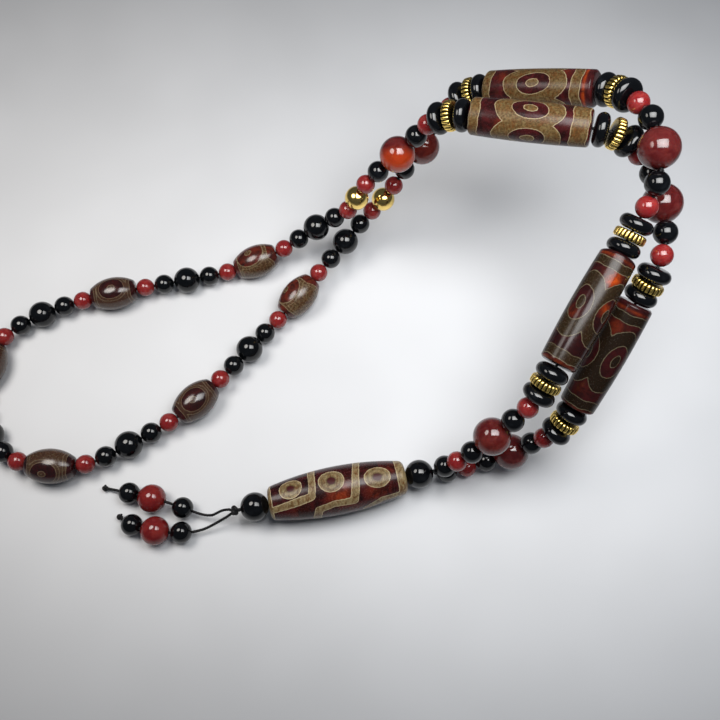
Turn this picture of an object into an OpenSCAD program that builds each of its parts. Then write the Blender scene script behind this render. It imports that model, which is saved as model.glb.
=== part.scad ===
// Dzi bead necklace in millimetres: one closed string of beads, a dzi pendant bead at the front
// and two short knotted tails. The string keeps the draped form in which it is shown: the right
// part is raised, the left part lies in a loop on the level it rests on, 60 mm below the origin.
// +X points right, +Y to the back, +Z up. The string is laid along a smooth route through a few
// chosen points, and the route is scaled by a hair until the beads just fill it.

/* [Small beads] */
// Diameter of the small onyx beads
small_onyx_d = 6; // [5.6:0.1:6.2]
// Diameter of the small carnelian beads
small_carnelian_d = 5.5; // [5:0.1:5.8]
// Diameter of the onyx rondelles
rondelle_d = 8.5; // [8:0.1:9]
// Length of an onyx rondelle along the thread
rondelle_l = 3.4; // [3:0.1:3.6]

/* [Large round beads] */
// Diameter of the large carnelian beads
large_carnelian_d = 10; // [9.4:0.1:10.2]
// Diameter of the large onyx beads
large_onyx_d = 8; // [7.4:0.1:8.4]

/* [Gilt beads] */
// Diameter of the gilt balls
gilt_ball_d = 7; // [6:0.1:7.4]
// Diameter of the ribbed gilt spacers, over the ribs
spacer_d = 8; // [7.4:0.1:8.6]
// Length of a ribbed gilt spacer along the thread
spacer_l = 2.3; // [2:0.1:2.6]
// Number of ribs round a gilt spacer
spacer_ribs = 22; // [16:1:28]
// Depth of the grooves between the ribs
spacer_rib_depth = 0.5; // [0.3:0.1:0.8]

/* [Dzi tubes] */
// Length of a dzi tube
tube_l = 30; // [29:0.5:30.5]
// Diameter of a dzi tube at its middle
tube_d = 10; // [9:0.2:10.4]
// How much slimmer the radius of a dzi tube is at its ends
tube_taper = 0.4; // [0.2:0.1:0.8]
// Width of the worn bevel round the ends of a dzi tube
tube_bevel = 0.5; // [0.3:0.1:0.8]

/* [Dzi barrels] */
// Length of a barrel-shaped dzi bead
barrel_l = 13.8; // [13:0.1:14.2]
// Diameter of a barrel-shaped dzi bead at its middle
barrel_d = 10; // [9.2:0.1:10.4]
// How much slimmer the radius of a barrel-shaped dzi bead is at its ends
barrel_taper = 2.3; // [2:0.1:2.6]
// Width of the bevel round the ends of a barrel-shaped dzi bead
barrel_bevel = 0.3; // [0.2:0.1:0.5]

/* [Pendant] */
// Length of the dzi pendant bead
pendant_l = 38.5; // [36:0.5:40]
// Diameter of the dzi pendant bead at its middle
pendant_d = 13.5; // [12.5:0.1:13.5]
// How much slimmer the radius of the pendant bead is at its ends
pendant_taper = 2.25; // [1.75:0.05:2.5]
// Width of the worn bevel round the ends of the pendant bead
pendant_bevel = 0.7; // [0.4:0.1:1]
// Heading of the pendant bead in plan, from +X towards +Y, in degrees
pendant_heading = 11.5; // [10:0.5:13]

/* [Tails] */
// Diameter of the small onyx beads on the tails
tail_onyx_d = 6; // [5.6:0.1:6]
// Diameter of the carnelian beads on the tails
tail_carnelian_d = 8; // [7.4:0.1:8]
// Bare thread from the knot to the first bead of the rear tail
rear_tail_bare_l = 12; // [11:0.5:13]
// Bare thread from the knot to the first bead of the front tail
front_tail_bare_l = 12.5; // [12:0.5:13.5]
// Bare thread between the first two beads of the rear tail
rear_tail_space = 2.2; // [1:0.2:3]
// Bare thread between the last bead of the rear tail and its end knot
rear_tail_rest_l = 4; // [3:0.5:5]
// Bare thread between the last bead of the front tail and its end knot
front_tail_rest_l = 1; // [0.6:0.2:2]
// Diameter of the knot under the pendant
knot_d = 3; // [2.6:0.1:3.4]
// Diameter of the knots that end the tails
end_knot_d = 2; // [1.8:0.1:2]

/* [Thread and fits] */
// Diameter of the thread
thread_d = 0.8; // [0.6:0.1:0.9]
// Diameter of the bore of every bead that holds one strand
bead_bore_d = 1.2; // [1.1:0.1:1.6]
// Diameter of the bore of the beads that hold both strands
double_bore_d = 2; // [2:0.1:2.4]
// Least gap between neighbouring pieces on the thread
bead_play = 0.12; // [0.12:0.02:0.2]
// Gap between the two strands where they run side by side
strand_gap = 0.1; // [0.1:0.02:0.16]
// Bare thread between the pendant's upper bead and the first bead of each strand
mouth_bare_l = 2.2; // [2:0.1:2.6]

/* [Hidden] */
$fn = 64;

// Colours of the materials
onyx_colour = [0.04, 0.04, 0.05];
carnelian_colour = [0.55, 0.1, 0.08];
gilt_colour = [0.85, 0.62, 0.2];
dzi_colour = [0.45, 0.3, 0.18];
pendant_colour = [0.35, 0.12, 0.08];
thread_colour = [0.05, 0.05, 0.05];

// The order of the beads on one half of the string, from the pendant to the middle of the back.
// The other half mirrors it, with one large onyx bead between the two.
banded_run = ["carnelian", "rondelle", "spacer", "rondelle", "tube",
              "rondelle", "spacer", "rondelle", "carnelian"];
red_run = ["onyx", "large carnelian", "onyx"];
black_run = ["onyx", "large onyx", "onyx"];
barrel_run = ["carnelian", "barrel", "carnelian"];
half_string = concat(
    ["onyx", "carnelian"], red_run, banded_run, red_run, banded_run, red_run,
    ["carnelian", "ball", "carnelian"], black_run, barrel_run, black_run, barrel_run,
    black_run, barrel_run, ["onyx"]);
half_count = len(half_string);
string = concat(half_string, ["large onyx"],
                [for (i = [half_count - 1:-1:0]) half_string[i]]);
bead_count = len(string);

// The route of the string: out of the pendant's upper bead, up over the raised right side, down
// to the left, round the loop that lies below, and back under the right side to the pendant
route = [
    [-23.8, -81.5, -53.2], [-22.5, -81, -51], [-21, -82, -46.5], [-17.5, -81.5, -41.5],
    [-14, -80, -37], [-8.5, -77, -29.5], [-2.5, -74, -20], [-0.5, -71.5, -17],
    [2.5, -67, -13], [17.5, -43, -1.5], [19.5, -39.5, 1], [22, -35.5, 4.5], [24, -32.5, 9],
    [25, -27, 14], [24, -17, 16], [22, -11, 15], [19.5, -5, 12], [16, -1, 9],
    [12, 1.5, 7], [-13, 12, -6], [-17, 13, -9], [-19.5, 13, -12.5], [-21.5, 11.5, -18],
    [-24, 9, -22], [-31, 3.5, -27], [-34, 0, -30.5], [-36.5, -1.5, -35], [-40, -1.5, -41.5],
    [-43, -2.5, -45.5], [-52, -12, -50.5], [-59.5, -20.5, -53], [-68.5, -31, -56],
    [-76, -40, -56], [-88, -55, -55], [-98, -65, -55], [-108, -71, -56], [-126, -80, -55],
    [-140.5, -79, -55], [-150, -73, -56], [-154.5, -66, -56], [-157, -55, -55],
    [-154.5, -41, -55], [-146.5, -33, -56], [-128.5, -26, -55], [-103, -20, -55.5],
    [-83.5, -15, -56], [-70.5, -10.5, -53], [-54.5, -5.5, -42.5], [-49.5, -5.5, -39],
    [-46.5, -5.5, -34], [-44.5, -5, -27.5], [-37.5, -3, -18.5], [-31, -1.5, -11],
    [-28, -1, -5.5], [-25.5, -2.5, -0.5], [-20.5, -4, 3], [-16.5, -5.5, 4.5], [11.5, -14, 10],
    [17, -15.5, 10], [20.5, -16.5, 8.5], [25.5, -19.5, 3.5], [29.5, -25, 1], [29, -36, 0.5],
    [28.5, -41, 0], [26.5, -46, -2.5], [25, -48.5, -5.5], [22.5, -52, -10], [10, -72.5, -28.5],
    [7.5, -75.5, -32.5], [5, -77, -36], [2, -76.5, -42], [0, -76.5, -47.5],
    [-7, -77.5, -54.5], [-12.5, -79, -56.5], [-18, -80.5, -56.5], [-23.5, -81.5, -56],
    [-23.8, -81.5, -53.2]
];

// The routes of the two tails, from the middle of the knot under the pendant
rear_tail_route = [
    [0, 0, 0], [-2, 0.5, -0.5], [-8, -0.5, -4], [-11.5, 0.5, -4.3], [-14.5, 1.5, -3.8],
    [-18.5, 2.7, -2.8], [-23.5, 4, -2.6], [-27.5, 5, -2.8], [-30.5, 6, -3.8],
    [-34.5, 7, -5.3], [-39, 8, -5.8]
];
front_tail_route = [
    [0, 0, 0], [-1.5, -1, -1], [-5, -2.5, -3], [-8.5, -4, -4.5], [-12, -5, -4.3],
    [-15.5, -5.5, -3.8], [-18.5, -5.4, -3], [-22, -5, -2.6], [-25.5, -4.5, -3],
    [-29, -3.5, -3.8], [-31.5, -2, -4.8], [-33.5, 0, -5.8]
];

curve_steps = 12;      // samples between two points of a route
settle_rounds = 16;    // rounds in which gaps and route are fitted to the beads
most_bend = 45;        // largest bend in degrees that the fitting reckons with
thread_sides = 8;
bore_spare = 1;        // how far a bore tool stands out of its bead
mouth_gap = thread_d/2 + bead_play;
mouth_turn = thread_d; // room for the turn of the thread at the first and last bead
tail_play = 0.3;       // gap between the last two beads of a tail

// How far a bead reaches along the thread
function bead_length(kind) =
    kind == "onyx" ? small_onyx_d :
    kind == "carnelian" ? small_carnelian_d :
    kind == "rondelle" ? rondelle_l :
    kind == "spacer" ? spacer_l :
    kind == "tube" ? tube_l :
    kind == "barrel" ? barrel_l :
    kind == "ball" ? gilt_ball_d :
    kind == "large carnelian" ? large_carnelian_d : large_onyx_d;

// Radius of the flat face at the end of a bead, 0 for a round bead
function face_radius(kind) =
    kind == "rondelle" ? (rondelle_d - rondelle_l)/2 :
    kind == "spacer" ? spacer_d/2 :
    kind == "tube" ? tube_d/2 - tube_taper - tube_bevel :
    kind == "barrel" ? barrel_d/2 - barrel_taper - barrel_bevel : 0;

// Curvature of the end of a round bead, 0 for a flat end
function end_curvature(kind) = face_radius(kind) > 0 ? 0 : 2/bead_length(kind);

// The gap two neighbours need at their joint, where the thread bends by the given angle: two
// flat ends tilt on the smaller face and its rounded rim, a round end rolls off the other bead
function joint_gap(a, b, bend) =
    let (flat = min(face_radius(a), face_radius(b)),
         rolling_r = flat == 0 ? 1/(end_curvature(a) + end_curvature(b)) :
             a == "rondelle" || b == "rondelle" ? rondelle_l/2 : 0)
    (bead_play + flat*sin(bend) + rolling_r*(1 - cos(bend)))*2/(1 + cos(bend));

// A smooth curve through the given points: cubic pieces whose slopes are weighted means
function cubic(a, b, slope_a, slope_b, t) =
    (2*t^3 - 3*t^2 + 1)*a + (t^3 - 2*t^2 + t)*slope_a +
    (3*t^2 - 2*t^3)*b + (t^3 - t^2)*slope_b;
function curve(points) =
    let (last = len(points) - 1,
         span = [for (i = [0:last - 1]) norm(points[i + 1] - points[i])],
         way = [for (i = [0:last - 1]) (points[i + 1] - points[i])/span[i]],
         slope = [for (i = [0:last])
             i == 0 ? way[0] : i == last ? way[last - 1] :
             (span[i - 1]*way[i] + span[i]*way[i - 1])/(span[i - 1] + span[i])])
    [for (i = [0:last - 1]) for (j = [0:curve_steps - 1])
         cubic(points[i], points[i + 1], span[i]*slope[i], span[i]*slope[i + 1], j/curve_steps),
     points[last]];

// Walks along a line in straight steps of the given lengths; each result is [sample, point]
function ahead(line, i, p, reach) =
    i >= len(line) - 2 || norm(line[i + 1] - p) >= reach ? i : ahead(line, i + 1, p, reach);
function at_reach(a, b, p, reach) =
    let (u = b - a, w = a - p, half = w*u, square = u*u)
    a + u*(sqrt(max(half*half - square*(w*w - reach*reach), 0)) - half)/square;
function walk(line, reaches) =
    [for (n = 0, i = 0, p = line[0];
          n <= len(reaches);
          i = n < len(reaches) ? ahead(line, i, p, reaches[n]) : i,
          p = n < len(reaches) ? at_reach(line[i], line[i + 1], p, reaches[n]) : p,
          n = n + 1) [i, p]];

function sum(list, i = 0, total = 0) =
    i >= len(list) ? total : sum(list, i + 1, total + list[i]);
function line_length(line) =
    sum([for (i = [0:len(line) - 2]) norm(line[i + 1] - line[i])]);
function unit(v) = v/norm(v);
function bend_at(points, i) =
    acos(max(-1, min(1, unit(points[i] - points[i - 1])*unit(points[i + 1] - points[i]))));

// The joints of the string at a route scale: the mouth, then both ends of every bead
function string_reaches(gaps) =
    concat([mouth_bare_l],
           [for (i = [0:bead_count - 1]) bead_length(string[i]) + (gaps[i] + gaps[i + 1])/2]);
function joints_of(scale, gaps) = walk(scale*route_line, string_reaches(gaps));
// The bare route that is left beyond the last joint
function left_over(steps, scale) =
    let (i = steps[len(steps) - 1][0],
         p = steps[len(steps) - 1][1],
         end = scale*route_line[len(route_line) - 1],
         rest = [p, for (j = [i + 1:len(route_line) - 1]) scale*route_line[j]])
    i >= len(route_line) - 2 ? -norm(end - p) : line_length(rest);
function new_gaps(steps, gaps) =
    let (points = [for (s = steps) s[1]])
    [for (i = [0:bead_count])
        i == 0 || i == bead_count ? mouth_turn :
        (gaps[i] + joint_gap(string[i - 1], string[i],
                             min(most_bend, bend_at(points, i + 1))))/2];
function settled(rounds, scale, gaps) =
    rounds <= 0 ? [scale, gaps] :
    let (steps = joints_of(scale, gaps),
         fit = (left_over(steps, scale) - mouth_bare_l)/(scale*route_length))
    settled(rounds - 1, scale*(1 - fit), new_gaps(steps, gaps));

route_line = curve(route);
route_length = line_length(route_line);
settled_string = settled(settle_rounds, 1,
                         [for (i = [0:bead_count]) i == 0 || i == bead_count ? mouth_turn : bead_play]);
route_scale = settled_string[0];
gaps = settled_string[1];
joints = [for (s = joints_of(route_scale, gaps)) s[1]];

// Where bead i of the string starts, its direction and its middle
function bead_way(i) = unit(joints[i + 2] - joints[i + 1]);
function bead_middle(i) =
    joints[i + 1] + bead_way(i)*(gaps[i] + bead_length(string[i]))/2;
// The places of all beads of one kind along the string
function places(kind) = [for (i = [0:bead_count - 1]) if (string[i] == kind) i];

// The pendant: distances from the mouth back along its axis
mouth = route_scale*route[0];
pendant_way = [cos(pendant_heading), sin(pendant_heading), 0];
upper_onyx_s = mouth_gap + large_onyx_d/2;
pendant_s = upper_onyx_s + large_onyx_d/2 + bead_play + pendant_l/2;
lower_onyx_s = pendant_s + pendant_l/2 + bead_play + large_onyx_d/2;
knot_s = lower_onyx_s + large_onyx_d/2 + bead_play + knot_d/2;
strand_offset = [0, 0, (thread_d + strand_gap)/2];
function on_pendant(s) = mouth - s*pendant_way;

// The tails: joints of the bare thread and of three beads each
bare_parts = 4;
function tail_reaches(bare, space, rest) =
    [knot_d/2 + 2*bead_play,
     for (i = [1:bare_parts]) bare/bare_parts,
     tail_onyx_d + space/2,
     space/2 + tail_carnelian_d + tail_play/2,
     tail_play/2 + tail_onyx_d,
     rest];
function tail_joints(points, bare, space, rest) =
    [for (s = walk(curve(points), tail_reaches(bare, space, rest))) s[1] + on_pendant(knot_s)];
rear_tail = tail_joints(rear_tail_route, rear_tail_bare_l, rear_tail_space, rear_tail_rest_l);
front_tail = tail_joints(front_tail_route, front_tail_bare_l, tail_play, front_tail_rest_l);
first_tail_bead = bare_parts + 1;
last_tail_joint = bare_parts + 5;
function tail_way(tail, i) =
    unit(tail[first_tail_bead + i + 1] - tail[first_tail_bead + i]);

// Turns a piece that is made along Z into a direction and moves it to a place
module lay(place, way) {
    translate(place)
        rotate([0, acos(way[2]), atan2(way[1], way[0])])
            children();
}

module bore(length, bore_d) {
    cylinder(h = length + 2*bore_spare, d = bore_d, center = true);
}

module round_bead(d, bore_d) {
    difference() {
        sphere(d = d);
        bore(d, bore_d);
    }
}

// A long bead whose side is one shallow arc, with bevelled ends
module barrel_bead(l, d, taper, bevel, bore_d) {
    face_r = d/2 - taper - bevel;
    arc_r = (l*l/4 + taper*taper)/(2*taper);
    difference() {
        rotate_extrude()
            intersection() {
                translate([d/2 - arc_r, 0])
                    circle(r = arc_r, $fn = 4*$fn);
                polygon([[0, -l/2], [face_r, -l/2], [face_r + l/2, 0], [face_r, l/2], [0, l/2]]);
            }
        bore(l, bore_d);
    }
}

// A flat bead with a fully rounded rim
module rondelle() {
    difference() {
        rotate_extrude()
            union() {
                translate([(rondelle_d - rondelle_l)/2, 0])
                    circle(d = rondelle_l);
                translate([0, -rondelle_l/2])
                    square([(rondelle_d - rondelle_l)/2, rondelle_l]);
            }
        bore(rondelle_l, bead_bore_d);
    }
}

// A ribbed gilt washer: every rib is two corners out and two corners in
module spacer() {
    corners = 4*spacer_ribs;
    difference() {
        linear_extrude(height = spacer_l, center = true)
            polygon([for (i = [0:corners - 1])
                (spacer_d/2 - (i % 4 < 2 ? 0 : spacer_rib_depth))
                    *[cos(360*i/corners), sin(360*i/corners)]]);
        bore(spacer_l, bead_bore_d);
    }
}

// A thread along a line of points: a prism whose corners follow each straight part exactly and
// meet the next part in the plane that halves the bend
module strand(line) {
    last = len(line) - 1;
    first_way = unit(line[1] - line[0]);
    side = unit(cross(first_way, abs(first_way[2]) < 0.9 ? [0, 0, 1] : [1, 0, 0]));
    up = cross(side, first_way);
    first_ring = [for (k = [0:thread_sides - 1])
        line[0] + thread_d/2*(cos(360*k/thread_sides)*side + sin(360*k/thread_sides)*up)];
    rings = [for (n = 0, ring = first_ring;
                  n <= last;
                  n = n + 1,
                  ring = n > last ? ring :
                      let (way = unit(line[n] - line[n - 1]),
                           face = n == last ? way : way + unit(line[n + 1] - line[n]))
                      [for (v = ring) v + way*((line[n] - v)*face)/(way*face)])
             each ring];
    sides = [for (n = [0:last - 1]) for (k = [0:thread_sides - 1])
        let (next = (k + 1) % thread_sides)
        [n*thread_sides + k, n*thread_sides + next,
         (n + 1)*thread_sides + next, (n + 1)*thread_sides + k]];
    start_cap = [for (k = [thread_sides - 1:-1:0]) k];
    end_cap = [for (k = [0:thread_sides - 1]) last*thread_sides + k];
    polyhedron(rings, concat(sides, [start_cap, end_cap]));
}

module pendant_dzi() {
    color(pendant_colour)
        lay(on_pendant(pendant_s), pendant_way)
            barrel_bead(pendant_l, pendant_d, pendant_taper, pendant_bevel, double_bore_d);
}

module tube_dzi(number) {
    i = places("tube")[number - 1];
    color(dzi_colour)
        lay(bead_middle(i), bead_way(i))
            barrel_bead(tube_l, tube_d, tube_taper, tube_bevel, bead_bore_d);
}

module barrel_dzi(number) {
    i = places("barrel")[number - 1];
    color(dzi_colour)
        lay(bead_middle(i), bead_way(i))
            barrel_bead(barrel_l, barrel_d, barrel_taper, barrel_bevel, bead_bore_d);
}

module carnelian_large(number) {
    i = places("large carnelian")[number - 1];
    color(carnelian_colour)
        lay(bead_middle(i), bead_way(i))
            round_bead(large_carnelian_d, bead_bore_d);
}

module onyx_large(number) {
    i = places("large onyx")[number - 1];
    color(onyx_colour)
        lay(bead_middle(i), bead_way(i))
            round_bead(large_onyx_d, bead_bore_d);
}

// The large onyx beads above and below the pendant hold both strands
module onyx_large_by_pendant(s) {
    color(onyx_colour)
        lay(on_pendant(s), pendant_way)
            round_bead(large_onyx_d, double_bore_d);
}

module gilt_ball(number) {
    i = places("ball")[number - 1];
    color(gilt_colour)
        lay(bead_middle(i), bead_way(i))
            round_bead(gilt_ball_d, bead_bore_d);
}

module gilt_spacer(number) {
    i = places("spacer")[number - 1];
    color(gilt_colour)
        lay(bead_middle(i), bead_way(i))
            spacer();
}

module onyx_small_beads() {
    color(onyx_colour)
        for (i = places("onyx"))
            lay(bead_middle(i), bead_way(i))
                round_bead(small_onyx_d, bead_bore_d);
}

module carnelian_small_beads() {
    color(carnelian_colour)
        for (i = places("carnelian"))
            lay(bead_middle(i), bead_way(i))
                round_bead(small_carnelian_d, bead_bore_d);
}

module onyx_rondelles() {
    color(onyx_colour)
        for (i = places("rondelle"))
            lay(bead_middle(i), bead_way(i))
                rondelle();
}

module tail_onyx_beads() {
    color(onyx_colour)
        for (tail = [rear_tail, front_tail]) {
            lay(tail[first_tail_bead] + tail_way(tail, 0)*tail_onyx_d/2, tail_way(tail, 0))
                round_bead(tail_onyx_d, bead_bore_d);
            lay(tail[first_tail_bead + 3] - tail_way(tail, 2)*tail_onyx_d/2, tail_way(tail, 2))
                round_bead(tail_onyx_d, bead_bore_d);
        }
}

module tail_carnelian(tail) {
    color(carnelian_colour)
        lay(tail[first_tail_bead + 2] - tail_way(tail, 1)*(tail_play + tail_carnelian_d)/2,
            tail_way(tail, 1))
            round_bead(tail_carnelian_d, bead_bore_d);
}

// One thread runs from the knot through the pendant, round the whole string and back
module neck_thread() {
    thread_end = on_pendant(knot_s - knot_d/2 - bead_play);
    color(thread_colour)
        strand([
            thread_end + strand_offset,
            mouth + strand_offset,
            for (i = [1:bead_count + 1]) joints[i],
            mouth - strand_offset,
            thread_end - strand_offset
        ]);
}

module tail_thread(tail) {
    color(thread_colour)
        strand([for (i = [1:last_tail_joint]) tail[i]]);
}

module tail_knot() {
    color(thread_colour)
        translate(on_pendant(knot_s))
            sphere(d = knot_d);
}

module end_knot(tail) {
    last_way = unit(tail[last_tail_joint] - tail[last_tail_joint - 1]);
    color(thread_colour)
        translate(tail[last_tail_joint] + last_way*(bead_play + end_knot_d/2))
            sphere(d = end_knot_d);
}

pendant_dzi();
tube_dzi(1);  // tube_dzi_1
tube_dzi(2);  // tube_dzi_2
tube_dzi(3);  // tube_dzi_3
tube_dzi(4);  // tube_dzi_4
barrel_dzi(1);  // barrel_dzi_1
barrel_dzi(2);  // barrel_dzi_2
barrel_dzi(3);  // barrel_dzi_3
barrel_dzi(4);  // barrel_dzi_4
barrel_dzi(5);  // barrel_dzi_5
barrel_dzi(6);  // barrel_dzi_6
carnelian_large(1);  // carnelian_large_1
carnelian_large(2);  // carnelian_large_2
carnelian_large(3);  // carnelian_large_3
carnelian_large(4);  // carnelian_large_4
carnelian_large(5);  // carnelian_large_5
carnelian_large(6);  // carnelian_large_6
onyx_large(1);  // onyx_large_1
onyx_large(2);  // onyx_large_2
onyx_large(3);  // onyx_large_3
onyx_large(4);  // onyx_large_4
onyx_large(5);  // onyx_large_5
onyx_large(6);  // onyx_large_6
onyx_large(7);  // onyx_large_7
onyx_large_by_pendant(upper_onyx_s);  // onyx_large_upper
onyx_large_by_pendant(lower_onyx_s);  // onyx_large_lower
gilt_ball(1);  // gilt_ball_1
gilt_ball(2);  // gilt_ball_2
gilt_spacer(1);  // gilt_spacer_1
gilt_spacer(2);  // gilt_spacer_2
gilt_spacer(3);  // gilt_spacer_3
gilt_spacer(4);  // gilt_spacer_4
gilt_spacer(5);  // gilt_spacer_5
gilt_spacer(6);  // gilt_spacer_6
gilt_spacer(7);  // gilt_spacer_7
gilt_spacer(8);  // gilt_spacer_8
onyx_small_beads();
carnelian_small_beads();
onyx_rondelles();
tail_onyx_beads();
tail_carnelian(rear_tail);  // tail_carnelian_rear
tail_carnelian(front_tail);  // tail_carnelian_front
neck_thread();
tail_thread(rear_tail);  // tail_thread_rear
tail_thread(front_tail);  // tail_thread_front
tail_knot();
end_knot(rear_tail);  // end_knot_rear
end_knot(front_tail);  // end_knot_front
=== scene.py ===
"""Dresses the dzi bead necklace: drilled stones, gilt beads, threads, floor, light and camera.

Lengths are in metres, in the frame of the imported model. +X points right, +Y back, +Z up.
"""

import math

import bpy
import numpy as np
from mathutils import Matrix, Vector


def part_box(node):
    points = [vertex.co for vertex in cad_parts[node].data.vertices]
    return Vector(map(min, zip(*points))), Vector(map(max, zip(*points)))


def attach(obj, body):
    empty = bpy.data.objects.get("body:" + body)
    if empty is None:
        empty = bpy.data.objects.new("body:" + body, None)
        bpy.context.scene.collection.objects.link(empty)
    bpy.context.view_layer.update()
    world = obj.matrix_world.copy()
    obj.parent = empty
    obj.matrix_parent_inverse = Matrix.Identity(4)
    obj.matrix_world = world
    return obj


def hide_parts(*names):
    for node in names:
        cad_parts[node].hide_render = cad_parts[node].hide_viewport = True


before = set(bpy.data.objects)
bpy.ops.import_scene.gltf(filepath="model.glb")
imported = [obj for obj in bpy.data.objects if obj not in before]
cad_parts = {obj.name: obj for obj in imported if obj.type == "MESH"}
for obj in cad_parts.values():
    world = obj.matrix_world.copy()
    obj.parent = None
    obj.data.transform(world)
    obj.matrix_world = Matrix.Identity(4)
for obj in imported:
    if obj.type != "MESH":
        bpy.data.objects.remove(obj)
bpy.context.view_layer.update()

bl_info = {
    "name": "Dzi bead necklace",
    "version": (1, 0, 0),
    "blender": (4, 5, 0),
    "location": "View3D > Sidebar > Necklace",
    "description": "Builds the beads, threads and stage of a dzi bead necklace",
    "category": "Object",
}

MM = 0.001

# The route of the string: out of the pendant's upper bead, up over the raised right side, down
# to the left, round the loop that lies below, and back under the right side to the pendant
ROUTE = MM * np.array([
    [-23.8, -81.5, -53.2], [-22.5, -81, -51], [-21, -82, -46.5], [-17.5, -81.5, -41.5],
    [-14, -80, -37], [-8.5, -77, -29.5], [-2.5, -74, -20], [-0.5, -71.5, -17],
    [2.5, -67, -13], [17.5, -43, -1.5], [19.5, -39.5, 1], [22, -35.5, 4.5], [24, -32.5, 9],
    [25, -27, 14], [24, -17, 16], [22, -11, 15], [19.5, -5, 12], [16, -1, 9],
    [12, 1.5, 7], [-13, 12, -6], [-17, 13, -9], [-19.5, 13, -12.5], [-21.5, 11.5, -18],
    [-24, 9, -22], [-31, 3.5, -27], [-34, 0, -30.5], [-36.5, -1.5, -35], [-40, -1.5, -41.5],
    [-43, -2.5, -45.5], [-52, -12, -50.5], [-59.5, -20.5, -53], [-68.5, -31, -56],
    [-76, -40, -56], [-88, -55, -55], [-98, -65, -55], [-108, -71, -56], [-126, -80, -55],
    [-140.5, -79, -55], [-150, -73, -56], [-154.5, -66, -56], [-157, -55, -55],
    [-154.5, -41, -55], [-146.5, -33, -56], [-128.5, -26, -55], [-103, -20, -55.5],
    [-83.5, -15, -56], [-70.5, -10.5, -53], [-54.5, -5.5, -42.5], [-49.5, -5.5, -39],
    [-46.5, -5.5, -34], [-44.5, -5, -27.5], [-37.5, -3, -18.5], [-31, -1.5, -11],
    [-28, -1, -5.5], [-25.5, -2.5, -0.5], [-20.5, -4, 3], [-16.5, -5.5, 4.5], [11.5, -14, 10],
    [17, -15.5, 10], [20.5, -16.5, 8.5], [25.5, -19.5, 3.5], [29.5, -25, 1], [29, -36, 0.5],
    [28.5, -41, 0], [26.5, -46, -2.5], [25, -48.5, -5.5], [22.5, -52, -10], [10, -72.5, -28.5],
    [7.5, -75.5, -32.5], [5, -77, -36], [2, -76.5, -42], [0, -76.5, -47.5],
    [-7, -77.5, -54.5], [-12.5, -79, -56.5], [-18, -80.5, -56.5], [-23.5, -81.5, -56],
    [-23.8, -81.5, -53.2],
])

# The routes of the two tails, from the middle of the knot under the pendant
REAR_TAIL_ROUTE = MM * np.array([
    [0, 0, 0], [-2, 0.5, -0.5], [-8, -0.5, -4], [-11.5, 0.5, -4.3], [-14.5, 1.5, -3.8],
    [-18.5, 2.7, -2.8], [-23.5, 4, -2.6], [-27.5, 5, -2.8], [-30.5, 6, -3.8],
    [-34.5, 7, -5.3], [-39, 8, -5.8],
])
FRONT_TAIL_ROUTE = MM * np.array([
    [0, 0, 0], [-1.5, -1, -1], [-5, -2.5, -3], [-8.5, -4, -4.5], [-12, -5, -4.3],
    [-15.5, -5.5, -3.8], [-18.5, -5.4, -3], [-22, -5, -2.6], [-25.5, -4.5, -3],
    [-29, -3.5, -3.8], [-31.5, -2, -4.8], [-33.5, 0, -5.8],
])

# The order of the beads on one half of the string, from the pendant to the middle of the back
BANDED_RUN = ["carnelian", "rondelle", "spacer", "rondelle", "tube",
              "rondelle", "spacer", "rondelle", "carnelian"]
RED_RUN = ["onyx", "large carnelian", "onyx"]
BLACK_RUN = ["onyx", "large onyx", "onyx"]
BARREL_RUN = ["carnelian", "barrel", "carnelian"]
HALF_STRING = (
    ["onyx", "carnelian"] + RED_RUN + BANDED_RUN + RED_RUN + BANDED_RUN + RED_RUN
    + ["carnelian", "ball", "carnelian"] + (BLACK_RUN + BARREL_RUN) * 3 + ["onyx"])
STRING = HALF_STRING + ["large onyx"] + HALF_STRING[::-1]

# Points on each span of a route, rounds in which the gaps settle, and the sharpest bend of the
# thread that a gap is widened for
CURVE_STEPS = 12
SETTLE_ROUNDS = 16
MOST_BEND = math.radians(45)

# The photograph's viewpoint, the point that its middle looks at, the angle of view along its
# side, and the direction that is up in it
CAMERA_AT = Vector((-0.045, -0.1435, 0.1663))
CAMERA_LOOKS_AT = Vector((-0.045, -0.045, -0.060))
CAMERA_VIEW = math.radians(48.36)
PICTURE_UP = np.array((0, 0.917, 0.399))

# Rounding at the mouth of a bore, and columns and rows of a large ball and a larger one
MOUTH = 0.2 * MM
LARGE, LARGEST = (64, 34), (72, 40)

# How far each dzi bead is turned about its own axis from the camera's side, in degrees
TUBE_TURNS = (44, -5, 22, -18)
BARREL_TURNS = (55, 5, -20, 0, 15, 35)
# How dark each tube's etching and ground are made, 0 for the palest; on tubes 1 and 4 this
# darkness is painted shade
TUBE_TONE_AND_SHADE = (0.9, 0.25, 0.1, 1.0)
# How dark each barrel's etching and ground are, 0 for the palest
BARREL_TONES = (0.4, 0.85, 0.75, 0.85, 0.85, 0.45)
# Where the two pale bands of each tube begin and end, in millimetres from its middle
TUBE_BANDS = ((-14.0, -11.4, 10.6, 13.0), (-14.8, -12.3, 9.6, 12.3),
              (-14.8, -12.2, 10.4, 14.6), (-14.0, -11.4, 10.2, 12.6))
# Half the length and width of a tube's pale field, of the eye in it, and of the eye's ring
TUBE_FIELD, TUBE_EYE, TUBE_RING = MM * np.array(((8.7, 5.35), (4.4, 2.8), (1.8, 1.1)))
# The same of a barrel's eye, of the eye on a bead with a stripe, and of the ring in either
BARREL_EYE, STRIPED_EYE, BARREL_RING = MM * np.array(((3.7, 3.3), (4.3, 4.4), (1.2, 0.95)))
# How far a barrel's pale field reaches either way from its middle
BARREL_FIELD = 5.6 * MM
# How much painted glow the bare ends of each bead have
TUBE_ENDS = (0.2, 0.4, 0.1, 0.16)
BARREL_ENDS = (0.05, 0, 0, 0, 0, 0.03)
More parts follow.
